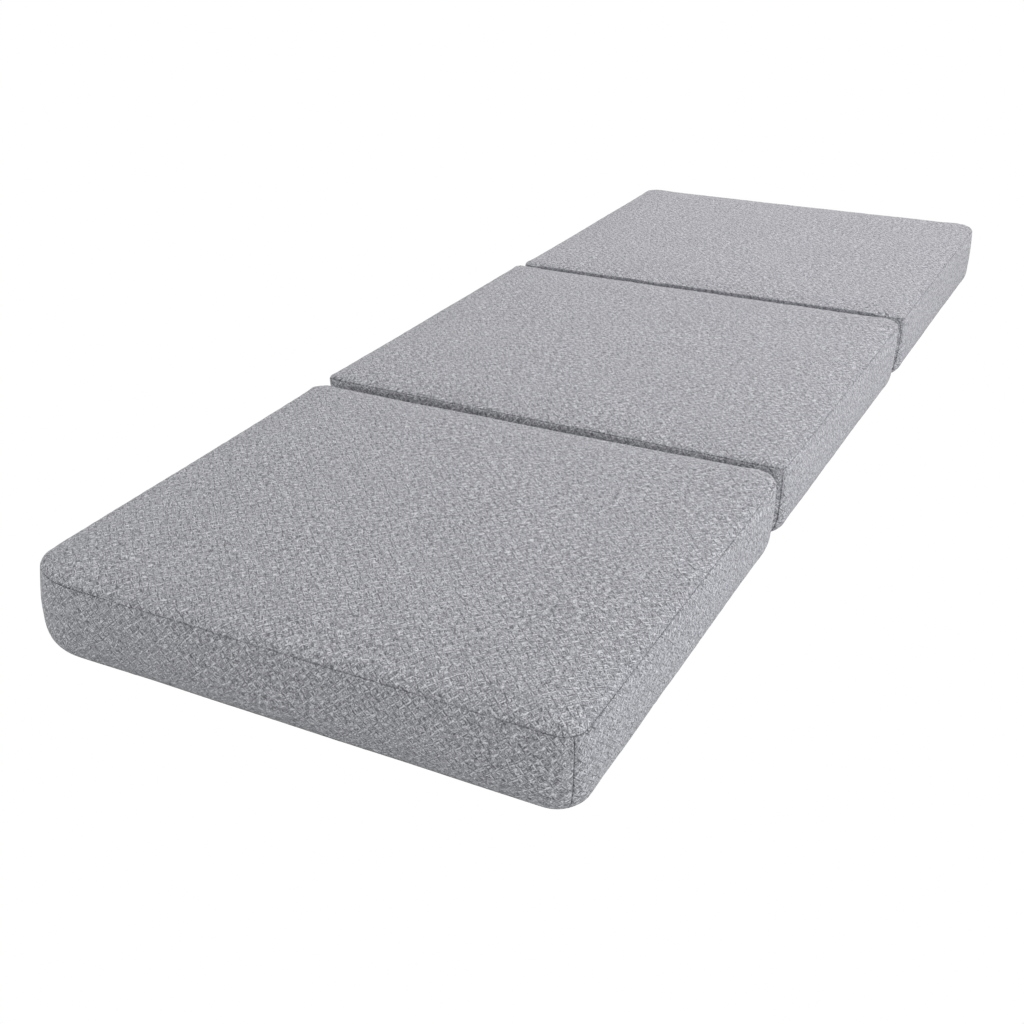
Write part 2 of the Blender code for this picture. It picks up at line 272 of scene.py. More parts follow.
def finishMaterial(tree, shader, colour, height, strength, distance):
    bump = addNode(tree, "Bump", inputs={
        "Strength": strength, "Distance": distance, "Height": height,
    })
    tree.links.new(colour, shader.inputs["Base Color"])
    tree.links.new(bump.outputs["Normal"], shader.inputs["Normal"])


knitSettings = {
    "repeat": 0.0082,            # squares 5.8 mm wide, that repeat every 8.2 mm along both diagonals
    "wander": 0.010,             # the rows stray by up to 5 mm
    "stroke": (0.0017, 0.0085),  # raised strokes about 2.7 mm apart, as long as their square allows
    # the cover's tones run from the grooves to the raised strokes: over the knit's own melange,
    # their dark end is painted shade and their light end painted highlight
    "cover": ((0.0, "505155"), (0.36, "7d7e82"), (0.6, "8f9094"), (1.0, "c4c5c9")),
    # the hinge strips' tones are the cover knit's made darker: painted shade, for the strips that
    # lie in the gaps between the sections
    "hinge": ((0.0, "3c3d41"), (0.5, "606166"), (1.0, "8c8d92")),
}


def makeKnit(name, tones):
    # polyester melange jacquard knit: matt and soft, light and dark squares in turn, with short
    # raised strokes that run along one diagonal in the light squares and the other in the dark ones
    material, tree, shader = newMaterial(name, {
        "Roughness": 0.93, "Specular IOR Level": 0.22, "Sheen Weight": 0.10, "Sheen Roughness": 0.6,
    })
    repeat, wander = knitSettings["repeat"], knitSettings["wander"]
    narrow, long = knitSettings["stroke"]
    flat = addNode(tree, "UVMap", {"uv_map": "cloth"})
    stray = addNode(tree, "TexNoise", {"noise_dimensions": "2D"}, {
        "Vector": flat, "Scale": 60, "Detail": 3,
    })
    centred = addNode(tree, "VectorMath", {"operation": "SUBTRACT"}, {
        0: stray.outputs["Color"], 1: (0.5, 0.5, 0.5),
    })
    moved = addNode(tree, "VectorMath", {"operation": "MULTIPLY_ADD"}, {
        0: centred, 1: (wander, wander, 0), 2: flat,
    })
    turned = addNode(tree, "Mapping", {"vector_type": "TEXTURE"}, {
        "Vector": moved, "Rotation": (0, 0, math.radians(45)), "Scale": (repeat, repeat, 1),
    })
    axes = addNode(tree, "SeparateXYZ", inputs={"Vector": turned})
    waves = []
    for axis in "XY":
        angle = addNode(tree, "Math", {"operation": "MULTIPLY"}, {
            0: axes.outputs[axis], 1: 2 * math.pi,
        })
        waves.append(addNode(tree, "Math", {"operation": "COSINE"}, {0: angle}))
    squares = addNode(tree, "Math", {"operation": "ADD"}, {0: waves[0], 1: waves[1]})
    side = addNode(tree, "Math", {"operation": "GREATER_THAN"}, {0: squares, 1: 0.0})
    noises = []
    for size in ((narrow, long, 1), (long, narrow, 1)):
        placed = addNode(tree, "Mapping", {"vector_type": "TEXTURE"}, {
            "Vector": flat, "Rotation": (0, 0, math.radians(45)), "Scale": size,
        })
        noises.append(addNode(tree, "TexNoise", {"noise_dimensions": "2D"}, {
            "Vector": placed, "Scale": 1.0, "Detail": 1, "Distortion": 0.3,
        }))
    strokes = addNode(tree, "Mix", {"data_type": "FLOAT"}, {0: side, 2: noises[0], 3: noises[1]})
    # the yarn's own thickness is 1.6 mm here, about twice the real one, so that it shows
    yarn = addNode(tree, "TexNoise", {"noise_dimensions": "2D"}, {
        "Vector": flat, "Scale": 620, "Detail": 1,
    })
    cloud = addNode(tree, "TexNoise", {"noise_dimensions": "2D"}, {
        "Vector": flat, "Scale": 11, "Detail": 3,
    })
    relief = addNode(tree, "Math", {"operation": "MULTIPLY_ADD"}, {
        0: strokes, 1: 1.5, 2: yarn.outputs["Fac"],
    })
    relief = addNode(tree, "Math", {"operation": "MULTIPLY_ADD"}, {0: squares, 1: 0.045, 2: relief})
    mixed = addNode(tree, "Math", {"operation": "MULTIPLY_ADD"}, {
        0: cloud.outputs["Fac"], 1: 0.06, 2: relief,
    })
    # the colour follows the relief: partly the knit's own melange, and partly painted shade in the
    # grooves and painted highlight on the raised strokes
    spread = addNode(tree, "MapRange", inputs={"Value": mixed, "From Min": 0.85, "From Max": 1.71})
    tone = addNode(tree, "ValToRGB", inputs={"Fac": spread})
    setTones(tone, tones)
    finishMaterial(tree, shader, tone.outputs["Color"], relief, 0.8, 0.0005)
    return material


def makeNonSlip():
    # dark polyester knit with small silicone dots: matt cloth, and dots with a soft gloss
    material, tree, shader = newMaterial("nonSlipDottedKnit", {"Specular IOR Level": 0.4})
    pitch, radius = 0.008, 0.17      # dots 8 mm apart, 2.7 mm across
    flat = addNode(tree, "UVMap", {"uv_map": "cloth"})
    scaled = addNode(tree, "Mapping", inputs={
        "Vector": flat, "Rotation": (0, 0, math.radians(45)), "Scale": (1 / pitch, 1 / pitch, 1),
    })
    cell = addNode(tree, "VectorMath", {"operation": "FRACTION"}, {0: scaled})
    centred = addNode(tree, "VectorMath", {"operation": "SUBTRACT"}, {0: cell, 1: (0.5, 0.5, 0)})
    away = addNode(tree, "VectorMath", {"operation": "LENGTH"}, {0: centred})
    dot = addNode(tree, "MapRange", {"interpolation_type": "SMOOTHSTEP"}, {
        "Value": away.outputs["Value"], "From Min": radius, "From Max": radius * 0.7,
    })
    # knit courses 2.8 mm apart, about twice the real ones, so that they show
    courses = addNode(tree, "TexWave", {"wave_type": "BANDS", "bands_direction": "Y"}, {
        "Vector": flat, "Scale": 112, "Distortion": 3, "Detail": 2, "Detail Scale": 4,
    })
    tone = addNode(tree, "ValToRGB", inputs={"Fac": courses.outputs["Fac"]})
    setTones(tone, ((0.0, "292a2d"), (1.0, "3d3e42")))
    mixed = addNode(tree, "Mix", {"data_type": "RGBA"}, {0: dot, 6: tone, 7: hexColour("4a4b50")})
    rough = addNode(tree, "MapRange", inputs={"Value": dot, "To Min": 0.9, "To Max": 0.45})
    tree.links.new(rough.outputs[0], shader.inputs["Roughness"])
    height = addNode(tree, "Math", {"operation": "MULTIPLY_ADD"}, {
        0: dot, 1: 2.0, 2: courses.outputs["Fac"],
    })
    finishMaterial(tree, shader, mixed.outputs[2], height, 0.6, 0.0004)
    return material


def makeLinerKnit():
    # thin white fire-barrier jersey: matt, with upright wales 2.4 mm apart, about twice the real
    # ones, so that they show
    material, tree, shader = newMaterial("whiteJerseyLiner", {
        "Roughness": 0.95, "Sheen Weight": 0.1,
    })
    flat = addNode(tree, "UVMap", {"uv_map": "cloth"})
    wales = addNode(tree, "TexWave", {"wave_type": "BANDS", "bands_direction": "X"}, {
        "Vector": flat, "Scale": 130, "Distortion": 1.5, "Detail": 2, "Detail Scale": 3,
    })
    fuzz = addNode(tree, "TexNoise", inputs={"Vector": flat, "Scale": 700, "Detail": 3})
    mixed = addNode(tree, "Math", {"operation": "MULTIPLY_ADD"}, {
        0: wales.outputs["Fac"], 1: 0.5, 2: fuzz.outputs["Fac"],
    })
    tone = addNode(tree, "ValToRGB", inputs={"Fac": mixed})
    setTones(tone, ((0.3, "d3d1ca"), (0.9, "efede7")))
    finishMaterial(tree, shader, tone.outputs["Color"], mixed, 0.5, 0.0003)
    return material


def makeFoam(name, tones, pore):
    # open-cell polyurethane foam, block-cut: matt, with small round pores, their size given in mm
    material, tree, shader = newMaterial(name, {
        "Roughness": 0.92, "Specular IOR Level": 0.3, "Subsurface Weight": 0.08,
        "Subsurface Scale": 0.004,
    })
    place = addNode(tree, "TexCoord")
    pores = addNode(tree, "TexVoronoi", inputs={
        "Vector": place.outputs["Object"], "Scale": 1000 / pore, "Randomness": 1.0,
    })
    cloud = addNode(tree, "TexNoise", inputs={
        "Vector": place.outputs["Object"], "Scale": 14, "Detail": 3,
    })
    mixed = addNode(tree, "Math", {"operation": "MULTIPLY_ADD"}, {
        0: cloud.outputs["Fac"], 1: 0.3, 2: pores.outputs["Distance"],
    })
    tone = addNode(tree, "ValToRGB", inputs={"Fac": mixed})
    setTones(tone, tones)
    finishMaterial(tree, shader, tone.outputs["Color"], pores.outputs["Distance"], 0.5, 0.0006)
    return material


def makeZipTapeMaterial():
    # polyester zip tape, woven in ribs 1.8 mm apart, about three times the real ones, so that they
    # show
    material, tree, shader = newMaterial("wovenPolyesterTape", {
        "Roughness": 0.8, "Specular IOR Level": 0.3,
    })
    flat = addNode(tree, "UVMap", {"uv_map": "cloth"})
    ribs = addNode(tree, "TexWave", {"wave_type": "BANDS", "bands_direction": "Y"}, {
        "Vector": flat, "Scale": 175, "Distortion": 0.5, "Detail": 1, "Detail Scale": 3,
    })
    picks = addNode(tree, "TexWave", {"wave_type": "BANDS", "bands_direction": "X"}, {
        "Vector": flat, "Scale": 260, "Distortion": 0.6, "Detail": 1, "Detail Scale": 3,
    })
    weave = addNode(tree, "Math", {"operation": "MULTIPLY"}, {
        0: ribs.outputs["Fac"], 1: picks.outputs["Fac"],
    })
    tone = addNode(tree, "ValToRGB", inputs={"Fac": weave})
    setTones(tone, ((0.0, "55565b"), (1.0, "85868b")))
    finishMaterial(tree, shader, tone.outputs["Color"], weave, 0.6, 0.0003)
    return material


def makeCoilMaterial():
    # drawn nylon monofilament: smooth, with a soft gloss and slightly uneven dye
    material, tree, shader = newMaterial("nylonZipCoil", {"Roughness": 0.38, "IOR": 1.53})
    place = addNode(tree, "TexCoord")
    dye = addNode(tree, "TexNoise", inputs={
        "Vector": place.outputs["Object"], "Scale": 220, "Detail": 2,
    })
    tone = addNode(tree, "ValToRGB", inputs={"Fac": dye.outputs["Fac"]})
    setTones(tone, ((0.3, "626368"), (0.7, "75767b")))
    finishMaterial(tree, shader, tone.outputs["Color"], dye.outputs["Fac"], 0.1, 0.0002)
    return material


def makeZipMetal():
    # die-cast zinc, barrel-tumbled and nickel plated: bright, with fine scratches from handling
    material, tree, shader = newMaterial("nickelPlatedZinc", {"Metallic": 1.0, "Roughness": 0.3})
    place = addNode(tree, "TexCoord")
    stretched = addNode(tree, "Mapping", inputs={
        "Vector": place.outputs["Object"], "Scale": (1, 0.15, 1),
    })
    scratches = addNode(tree, "TexNoise", inputs={"Vector": stretched, "Scale": 2600, "Detail": 3})
    tarnish = addNode(tree, "TexNoise", inputs={
        "Vector": place.outputs["Object"], "Scale": 320, "Detail": 3,
    })
    tone = addNode(tree, "ValToRGB", inputs={"Fac": tarnish.outputs["Fac"]})
    setTones(tone, ((0.3, "9a9a9b"), (0.7, "c4c4c3")))
    rough = addNode(tree, "MapRange", inputs={
        "Value": scratches.outputs["Fac"], "To Min": 0.22, "To Max": 0.44,
    })
    tree.links.new(rough.outputs[0], shader.inputs["Roughness"])
    finishMaterial(tree, shader, tone.outputs["Color"], scratches.outputs["Fac"], 0.08, 0.0001)
    return material


def makeFloorPaint():
    # matt white studio paint with faint roller marks
    material, tree, shader = newMaterial("matWhiteStudioPaint", {
        "Roughness": 0.9, "Specular IOR Level": 0.2,
    })
    place = addNode(tree, "TexCoord")
    marks = addNode(tree, "TexNoise", inputs={
        "Vector": place.outputs["Object"], "Scale": 6, "Detail": 4,
    })
    tone = addNode(tree, "ValToRGB", inputs={"Fac": marks.outputs["Fac"]})
    setTones(tone, ((0.3, "f2f2f2"), (0.7, "f8f8f8")))
    finishMaterial(tree, shader, tone.outputs["Color"], marks.outputs["Fac"], 0.05, 0.001)
    return material


knit = makeKnit("melangeJacquardKnit", knitSettings["cover"])
# the cover knit again, made darker with painted shade for the hinge strips in the gaps
shadedHingeKnit = makeKnit("paintedShadeJacquardKnit", knitSettings["hinge"])
nonSlip = makeNonSlip()
linerKnit = makeLinerKnit()
comfortFoam = makeFoam("memoryFoam", ((0.2, "d6d0bd"), (0.9, "ece7d8")), 1.2)
supportFoam = makeFoam("supportFoam", ((0.2, "b4b9bf"), (0.9, "d3d7db")), 1.6)
zipTape = makeZipTapeMaterial()
zipCoil = makeCoilMaterial()
zipMetal = makeZipMetal()
floorPaint = makeFloorPaint()
print("materials made")


# the section covers; each corner of each section, in mm: how far right and how far out along the
# length it stands from the CAD's, its radius seen from above at the top and at the bottom, and the
# radius of the top rim and of the bottom rim there; the last value is how much wider than deep the
# corner's curve is; on the left side the first value is for the top alone, and the side leans from
# there to stand on the CAD's plane from the zip down
sectionShapes = {
    "foot": {
        "nearRight": (0.2, -1.2, 27, 46, 17, 35, 1.0),
        "farRight": (0.2, 0.5, 38, 60, 11, 38, 1.0),
        "farLeft": (-3.2, -1.2, 26, 50, 11, 38, 1.0),
        "nearLeft": (5.0, -1.2, 60, 54, 11, 34, 1.4),
    },
    "middle": {
        "nearRight": (-2.5, 7.5, 13, 40, 8, 35, 1.0),
        "farRight": (0.2, -1.2, 36, 56, 7, 33, 1.0),
        "farLeft": (-1.0, 0.4, 11, 40, 7, 32, 1.0),
        "nearLeft": (-3.8, -1.2, 12, 40, 8, 32, 1.0),
    },
    "head": {
        "nearRight": (0.0, 0.5, 9, 40, 7, 33, 1.0),
        "farRight": (-0.6, -1.2, 41, 46, 9, 27, 1.0),
        "farLeft": (5.5, -1.2, 24, 40, 10, 30, 1.0),
        "nearLeft": (6.0, -1.2, 16, 40, 7, 32, 1.0),
    },
}

coverSettings = {
    "cornerCells": 4,        # on each side of a corner
    "zipCells": 2,           # between a corner and the end of the zip bands
    "rimDrop": 0.0044,       # from the CAD's top to the edge of the flat top
    "topAngles": (0, 20, 40, 66, 90),
    "bottomAngles": (22.5, 45, 67.5, 90),
    "upperShares": (1 / 3, 2 / 3, 1),     # from the top rim down to the zip's opening
    "lowerShares": (0, 0.34, 0.67, 1),    # from the zip's opening down to the bottom rim
    "leastRadius": 0.002,
    "crown": 0.0022,
    "bulge": 0.0008,
    "zipHalf": 0.243,
    "zipOpening": (0.050, 0.066),
    "highest": 0.1203,
    "thickness": 0.0018,
    "seamWidth": 0.0011,     # less than the last row of cells
    "seamDepth": 0.0015,
    "puckerHeight": 0.0007,
    "puckerLength": 0.012,
    "puckerReach": 0.011,
    "puckerLimit": 0.05,     # beyond this no gather shows
    "puckerFade": 0.003,     # the gathers die out this near to the seam
    "waveHeight": 0.0007,
    "waveLength": 0.11,
}

sections = ("head", "middle", "foot")
cornerNames = ("nearRight", "farRight", "farLeft", "nearLeft")   # counter-clockwise
coverParts = (
    "top_panel", "near_band", "right_band", "far_band", "zip_band_upper", "zip_band_lower",
    "bottom_panel",
)
partNames = (*coverParts, "opening")
across, along = 64, 60       # cells of a cover from left to right, and from near to far
zipStart = coverSettings["cornerCells"] + coverSettings["zipCells"]
topSeamRing, bottomSeamRing = 3, 14
openingRings = (7, 9)
beltRing = 8                 # half-way up the zip
lastRing = 16


def sectionBox(section):
    coverNodes = ("top_panel", "bottom_panel", "near_band", "far_band", "right_band")
    boxes = [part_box(f"{section}_{part}") for part in coverNodes]
    low = Vector([min(box[0][k] for box in boxes) for k in range(3)])
    high = Vector([max(box[1][k] for box in boxes) for k in range(3)])
    return low, high


def makeStations():
    # every point round the outline, from the seam of the near right corner and counter-clockwise:
    # the corner that it leaves, the side cell that it ends, and its turn in the corner
    corner = coverSettings["cornerCells"]
    made = []
    for k in range(4):
        cells = (along, across)[k % 2]
        for cell in range(cells):
            if cell < corner:
                made.append((k, None, 45 + 45 * cell / corner))
            elif cell > cells - corner:
                made.append(((k + 1) % 4, None, 45 - 45 * (cells - cell) / corner))
            else:
                made.append((k, cell - corner, cells - 2 * corner))
    return made


stations = makeStations()


def rimRings(topRim, bottomRim, height):
    # each ring from the flat top down, as its distance in from the side and its height
    made = []
    for angle in coverSettings["topAngles"]:
        turn = math.radians(angle)
        made.append((topRim * (1 - math.sin(turn)), height - topRim * (1 - math.cos(turn))))
    zipLow, zipHigh = coverSettings["zipOpening"]
    sideTop = height - topRim
    levels = [sideTop + (zipHigh - sideTop) * share for share in coverSettings["upperShares"]]
    levels.append((zipLow + zipHigh) / 2)
    levels += [zipLow + (bottomRim - zipLow) * share for share in coverSettings["lowerShares"]]
    for level in levels:
        share = (level - bottomRim) / (sideTop - bottomRim)
        made.append((-coverSettings["bulge"] * math.sin(math.pi * share), level))
    for angle in coverSettings["bottomAngles"]:
        turn = math.radians(angle)
        made.append((bottomRim * (1 - math.cos(turn)), bottomRim * (1 - math.sin(turn))))
    return made


def outlineRings(section, low, high):
    # the places of every station of every ring
    height = high.z - coverSettings["rimDrop"]
    zipTop = coverSettings["zipOpening"][1]
    middle = (low.y + high.y) / 2
    sides = {
        "nearRight": (high.x, low.y), "farRight": (high.x, high.y),
        "farLeft": (low.x, high.y), "nearLeft": (low.x, low.y),
    }
    corners = []
    for name in cornerNames:
        *lengths, wide = sectionShapes[section][name]
        right, out, topRadius, bottomRadius, topRim, bottomRim = (mm / 1000 for mm in lengths)
        side, y = sides[name]
        y += out if y > middle else -out
        rings = []
        for inset, level in rimRings(topRim, bottomRim, height):
            share = 1 - level / height
            radius = topRadius + (bottomRadius - topRadius) * share * share - inset
            radius = max(radius, coverSettings["leastRadius"])
            lean = (level - zipTop) / (height - topRim - zipTop)
            x = side + right * (min(max(lean, 0), 1) if side < 0 else 1)
            centre = (
                x - math.copysign(inset + radius * wide, x),
                y - math.copysign(inset + radius, y - middle),
            )
            rings.append((centre, radius, wide, level))
        corners.append(rings)

    def inCorner(k, ring, turn):
        centre, radius, wide, level = corners[k][ring]
        angle = math.radians(90 * (k - 1) + turn)
        x = centre[0] + radius * wide * math.cos(angle)
        return np.array((x, centre[1] + radius * math.sin(angle), level))

    made = np.empty((lastRing + 1, len(stations), 3))
    for ring in range(lastRing + 1):
        for index, (k, cell, turn) in enumerate(stations):
            if cell is None:
                made[ring, index] = inCorner(k, ring, turn)
                continue
            start, end = inCorner(k, ring, 90), inCorner((k + 1) % 4, ring, 0)
            share = cell / turn
            if k % 2 == 0:   # along the right and left sides, lines stand at the ends of the zip
                zipEnd = coverSettings["zipHalf"] if k == 0 else -coverSettings["zipHalf"]
                zipCells = coverSettings["zipCells"]
                marks = (start[1], middle - zipEnd, middle + zipEnd, end[1])
                y = np.interp(cell, (0, zipCells, turn - zipCells, turn), marks)
                share = (y - start[1]) / (end[1] - start[1])
            made[ring, index] = start + (end - start) * share
    return made


def stationOf(i, j):
    # the number of an outline point in the lattice
    nearOrLeft = np.where(i == 0, along + across + along - j, 2 * along + across + i)
    farOrRest = np.where(j == along, along + across - i, nearOrLeft)
    return np.where(i == across, j, farOrRest) % len(stations)


def fillPatch(ring):
    # the places of a flat net of points inside a ring, (across + 1) x (along + 1)
    i, j = np.arange(across + 1), np.arange(along + 1)
    near, far = ring[stationOf(i, 0 * i)], ring[stationOf(i, 0 * i + along)]
    left, right = ring[stationOf(0 * j, j)], ring[stationOf(0 * j + across, j)]
    u, v = (i / across)[:, None, None], (j / along)[None, :, None]
    nearCorners = (1 - u) * (1 - v) * near[0] + u * (1 - v) * near[-1]
    corners = nearCorners + (1 - u) * v * far[0] + u * v * far[-1]
    ends = (1 - v) * near[:, None] + v * far[:, None]
    return ends + (1 - u) * left[None] + u * right[None] - corners


def latticeBox(name):
    # a closed box of cells 1 apart: the flat top, the sides and the flat bottom
    bpy.ops.mesh.primitive_grid_add(x_subdivisions=across, y_subdivisions=along, size=1)
    skin = bpy.context.object
    skin.name = skin.data.name = name
    places = (points(skin) + (0.5, 0.5, 0)) * (across, along, 1)
    places[:, 2] = lastRing
    setPoints(skin, places)
    openMesh(skin)
    pick(skin, "edges", lambda edge: edge.is_boundary)
    for _ in range(lastRing):
        bpy.ops.mesh.extrude_region_move(TRANSFORM_OT_translate={"value": (0, 0, -1)})
    pick(skin, "faces", lambda face: face.calc_center_median().z > lastRing - 0.1)
    bpy.ops.mesh.duplicate_move(TRANSFORM_OT_translate={"value": (0, 0, -lastRing)})
    pickAll()
    bpy.ops.mesh.remove_doubles(threshold=0.01)
    bpy.ops.mesh.normals_make_consistent(inside=False)
    closeMesh()
    return skin


def partOf(x, y, z):
    # which part of the cover a face of the lattice belongs to, by the middle of the face
    ring = lastRing - z
    if ring < topSeamRing:
        return "top_panel"
    if ring > bottomSeamRing:
        return "bottom_panel"
    if x > across - 0.1:
        return "right_band"
    if y < zipStart:
        return "near_band"
    if y > along - zipStart:
        return "far_band"
    if ring < openingRings[0]:
        return "zip_band_upper"
    return "zip_band_lower" if ring > openingRings[1] else "opening"


def makeSkin(section, low, high):
    # the whole cover of one section, as one closed skin with its parts marked on the faces
    skin = latticeBox(section + "Skin")
    mesh = skin.data
    lattice = np.rint(points(skin)).astype(int)
    i, j, ring = lattice[:, 0], lattice[:, 1], lastRing - lattice[:, 2]

    centres = np.empty(len(mesh.polygons) * 3)
    mesh.polygons.foreach_get("center", centres)
    part = np.array([partNames.index(partOf(*centre)) for centre in centres.reshape(-1, 3)])
    mesh.attributes.new("coverPart", "INT", "FACE").data.foreach_set("value", part)

    rings = outlineRings(section, low, high)
    onSide = (i == 0) | (i == across) | (j == 0) | (j == along)
    station = stationOf(i, j)
    top, bottom = fillPatch(rings[0]), fillPatch(rings[-1])
    places = np.where((ring == 0)[:, None], top[i, j], bottom[i, j])
    places = np.where(onSide[:, None], rings[ring, station], places)

    # the flat cut of the cloth: panels spread outwards from the flat, bands run round the outline
    steps = np.linalg.norm(np.diff(rings, axis=0), axis=2)
    down = np.vstack([np.zeros(len(stations)), np.cumsum(steps, axis=0)])
    belt = rings[beltRing]
    around = np.concatenate([[0], np.cumsum(np.linalg.norm(np.diff(belt, axis=0), axis=1))])
    away = belt[:, :2] - rings[0, :, :2]
    away /= np.linalg.norm(away, axis=1)[:, None]
    loopVertex = loopVertices(skin)
    loopPart = np.repeat(part, 4)
    flat = np.column_stack([around[station], -down[ring, station]])[loopVertex]
    for name, rim, reach in (("top_panel", 0, down), ("bottom_panel", -1, down[-1] - down)):
        spread = rings[rim, station, :2] + away[station] * reach[ring, station][:, None]
        cut = np.where(onSide[:, None], spread, places[:, :2])
        chosen = loopPart == partNames.index(name)
        flat[chosen] = cut[loopVertex[chosen]]
    # the round trip ends where it starts, at the seam of the near right corner
    lastCell = (j[loopVertex] == 0) & (i[loopVertex] == across)
    lastCell &= loopPart == partNames.index("near_band")
    flat[lastCell, 0] = around[-1] + np.linalg.norm(belt[0] - belt[-1])
    layFlat(skin, flat)

    # the crown
    isTop = (ring == 0) & ~onSide
    a = (places[:, 0] - (low.x + high.x) / 2) / ((high.x - low.x) / 2)
    b = (places[:, 1] - (low.y + high.y) / 2) / ((high.y - low.y) / 2)
    crown = coverSettings["crown"] * (1 - np.abs(a) ** 3) * (1 - np.abs(b) ** 3)
    places[:, 2] += np.where(isTop, crown, 0)
    setPoints(skin, places)

    # what the seams and the zip hold still while the cloth swells
    band = (ring >= topSeamRing) & (ring <= bottomSeamRing) & onSide
    held = onSide & ((ring == topSeamRing) | (ring >= bottomSeamRing)) | (ring == lastRing)
    held |= band & (i == across) & ((j == 0) | (j == along))
    held |= band & (i == 0) & ((j == zipStart) | (j == along - zipStart))
    held |= band & (i == 0) & (ring >= openingRings[0]) & (ring <= openingRings[1])
    return skin, held


swellSettings = {"pressure": 4.0, "frames": 20, "limit": 0.0026}


def swell(skin, held):
    # the cloth is pressed out from inside, as by the foam, and held at its seams
    rest = points(skin)
    group = skin.vertex_groups.new(name="held")
    group.add([int(n) for n in np.flatnonzero(held)], 1.0, "REPLACE")
    cloth = skin.modifiers.new("swell", "CLOTH")
    cloth.settings.vertex_group_mass = "held"
    cloth.settings.use_pressure = True
    cloth.settings.uniform_pressure_force = swellSettings["pressure"]
    cloth.settings.effector_weights.gravity = 0
    cloth.settings.quality = 4
    cloth.collision_settings.use_collision = False
    cloth.point_cache.frame_start = 1
    cloth.point_cache.frame_end = swellSettings["frames"]
    for step in range(1, swellSettings["frames"] + 1):
        bpy.context.scene.frame_set(step)
    pickOnly(skin)
    bpy.ops.object.modifier_apply(modifier=cloth.name)
    moved = points(skin) - rest
    length = np.maximum(np.linalg.norm(moved, axis=1), 1e-9)
    print("  cloth swelled by up to", round(float(length.max()) * 1000, 1), "mm before its limit")
    limit = swellSettings["limit"]
    setPoints(skin, rest + moved * (limit * np.tanh(length / limit) / length)[:, None])
    skin.vertex_groups.clear()
    bpy.context.scene.frame_set(1)


def borderOf(piece):
    # the numbers of the vertices on the open edge
    mesh = bmesh.new()
    mesh.from_mesh(piece.data)
    made = [vertex.index for vertex in mesh.verts if vertex.is_boundary]
    mesh.free()
    return made


def pucker(piece, seed):
    # small gathers square to the seams, and slow waves all over
    places, outwards = points(piece), normals(piece)
    border = borderOf(piece)
    waveHeight, waveLength = coverSettings["waveHeight"], coverSettings["waveLength"]
    puckerHeight, puckerLength = coverSettings["puckerHeight"], coverSettings["puckerLength"]
    limit = coverSettings["puckerLimit"]
    tree = kdtree.KDTree(len(border))
    for number, index in enumerate(border):
        tree.insert(places[index], number)
    tree.balance()
    rise = np.zeros(len(places))
    for index, place in enumerate(places):
        at = Vector(place)
        nearest, _, away = tree.find(at)
        rise[index] = waveHeight * noise.noise(at / waveLength + seed)
        if away < limit:
            reach = coverSettings["puckerReach"] * (1 + 0.8 * noise.noise(nearest / limit - seed))
            gather = noise.noise(nearest / puckerLength + seed)
            gather += 0.5 * noise.noise(at / puckerLength - seed)
            fade = min(away / coverSettings["puckerFade"], 1)
            rise[index] += puckerHeight * gather * math.exp(-away / reach) * fade
    places += outwards * rise[:, None]
    places[:, 2] = np.clip(places[:, 2], 0, coverSettings["highest"])
    setPoints(piece, places)


def turnEdgesIn(piece):
    # the cloth turns in at its seams, into a narrow groove
    openMesh(piece)
    pickAll()
    bpy.ops.mesh.inset(
        thickness=coverSettings["seamWidth"], use_boundary=True, use_even_offset=True,
    )
    mesh = bmesh.from_edit_mesh(piece.data)
    mesh.normal_update()
    for vertex in mesh.verts:
        if vertex.is_boundary:
            vertex.co -= vertex.normal * coverSettings["seamDepth"]
            vertex.co.z = max(vertex.co.z, 0.0)
    bmesh.update_edit_mesh(piece.data)
    closeMesh()


def camelName(section, node):
    return section + "".join(word.capitalize() for word in node.split("_"))


def pieceArea(piece):
    areas = np.empty(len(piece.data.polygons))
    piece.data.polygons.foreach_get("area", areas)
    return float(areas.sum())


def flatSize(piece):
    # the smallest upright rectangle that the flat cut fits in
    flat = np.empty(len(piece.data.loops) * 2)
    piece.data.uv_layers["cloth"].data.foreach_get("uv", flat)
    size = np.ptp(flat.reshape(-1, 2), axis=0)
    return sorted(float(value) for value in size)


def makeCover(section):
    low, high = sectionBox(section)
    skin, held = makeSkin(section, low, high)
    core = copyOf(skin, section + "Core")
    swell(skin, held)
    applyModifier(skin, "SUBSURF", levels=1, render_levels=1)
    seed = Vector((3.7, 1.9, 5.3)) * (1 + sections.index(section))
    for number, node in enumerate(coverParts):
        isBottom = node == "bottom_panel"
        piece = copyOf(skin, camelName(section, node))
        tags = [item.value for item in piece.data.attributes["coverPart"].data]
        openMesh(piece, "FACE")
        pick(piece, "faces", lambda face: tags[face.index] != number)
        bpy.ops.mesh.delete(type="FACE")
        closeMesh()
        pucker(piece, seed)
        turnEdgesIn(piece)
        size = flatSize(piece)
        applyModifier(piece, "SOLIDIFY", thickness=coverSettings["thickness"], offset=-1)
        piece.data.shade_smooth()
        finishPiece(
            piece, nonSlip if isBottom else knit, section + "_section", f"{section}_{node}",
        )
        print(" ", piece.name, "flat", [round(value, 3) for value in size])
    bpy.data.objects.remove(skin)
    return core


# insets are from the skin that the cover is made of
linerSettings = {"inset": 0.0041, "thickness": 0.0011, "behindZip": 0.0030, "flatWidth": 0.80}
foamSettings = {"inset": 0.0055, "split": 0.0758, "gap": 0.0003}


